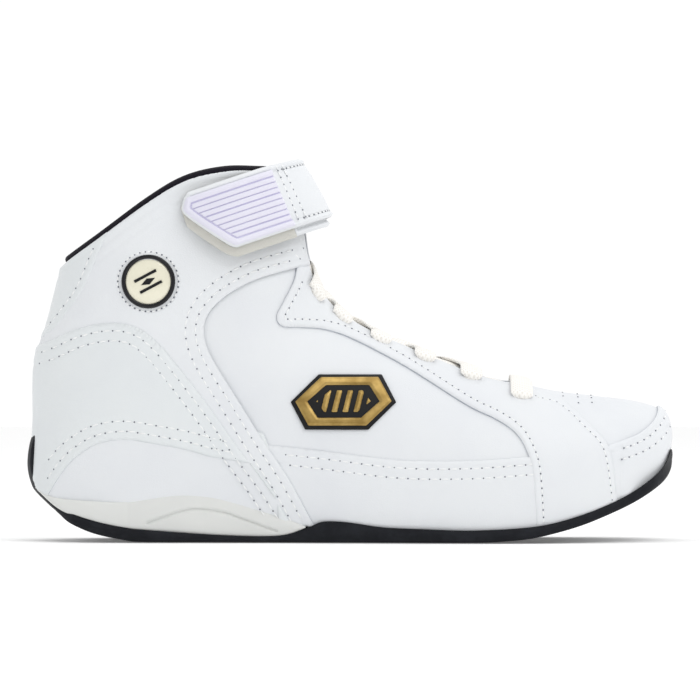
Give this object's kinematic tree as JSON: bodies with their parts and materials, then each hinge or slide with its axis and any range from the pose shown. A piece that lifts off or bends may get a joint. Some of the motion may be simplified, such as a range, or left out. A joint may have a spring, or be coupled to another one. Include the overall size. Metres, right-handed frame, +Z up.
{
  "type": "boxing boot",
  "caption": "High-topped laced boxing boot for the right foot, with a low rubber sole, a padded collar and an ankle strap that opens on hook and loop.",
  "frame": {"origin": "on the ground, on the flat face of the outsole, near the middle of the boot's length and width", "axes": "+X to the toe, +Z up, +Y to the inner side of the foot"},
  "size_m": [0.2982, 0.1008, 0.1787],
  "materials": {
    "upper_leather": "smooth, semi-matte, fine grain",
    "sole_rubber": "matte moulded rubber",
    "wedge_foam": "moulded foam, matte",
    "lace_cotton": "flat woven lace",
    "board_fibre": "pressed fibre board",
    "padding_foam": "soft foam",
    "lining_fabric": "brushed black-violet textile",
    "tongue_fabric": "padded textile",
    "grip_rubber": "moulded ribs, satin",
    "hook_tape": "hook and loop tape",
    "badge_black": "glossy moulded",
    "badge_ivory": "glossy domed",
    "emblem_gold": "satin metallic print"
  },
  "bodies": {
    "root": {"outsole": "sole_rubber", "heel_wedge": "wedge_foam", "toe_cap": "upper_leather", "toe_box": "upper_leather", "heel_foxing_outer": "upper_leather", "heel_foxing_inner": "upper_leather", "heel_counter": "upper_leather", "heel_tab": "upper_leather", "collar_panel_outer": "upper_leather", "collar_panel_inner": "upper_leather", "vamp_eyestay": "upper_leather", "mudguard_outer": "upper_leather", "mudguard_inner": "upper_leather", "side_panel_outer": "upper_leather", "side_panel_inner": "upper_leather", "lace": "lace_cotton", "insole_board": "board_fibre", "heel_stiffener": "board_fibre", "toe_puff": "board_fibre", "collar_padding_outer": "padding_foam", "collar_padding_inner": "padding_foam", "lining": "lining_fabric", "collar_binding": "lining_fabric", "footbed": "lining_fabric", "strap_anchor": "upper_leather", "loop_pad": "hook_tape", "badge_ring": "badge_black", "badge_dome": "badge_ivory", "emblem_patch": "badge_black", "emblem_frame": "emblem_gold"},
    "tongue": {"tongue": "tongue_fabric"},
    "strap_wrap": {"strap_wrap": "upper_leather"},
    "strap_tab": {"strap_tab": "upper_leather", "grip_patch": "grip_rubber", "hook_pad": "hook_tape"}
  },
  "joints": [
    {"name": "tongue_tilt", "type": "hinge", "parent": "root", "child": "tongue", "pos_m": [0.076, 0, 0.06], "axis": [0, -1, 0], "range_deg": [0, 12]},
    {"name": "strap_swing", "type": "hinge", "parent": "root", "child": "strap_wrap", "pos_m": [-0.03302, 0.0305, 0.15732], "axis": [-0.3256, 0, 0.9455], "range_deg": [0, 110]},
    {"name": "strap_tab_peel", "type": "hinge", "parent": "strap_wrap", "child": "strap_tab", "pos_m": [-0.03302, -0.0305, 0.15732], "axis": [-0.3256, 0, 0.9455], "range_deg": [0, 100]}
  ]
}
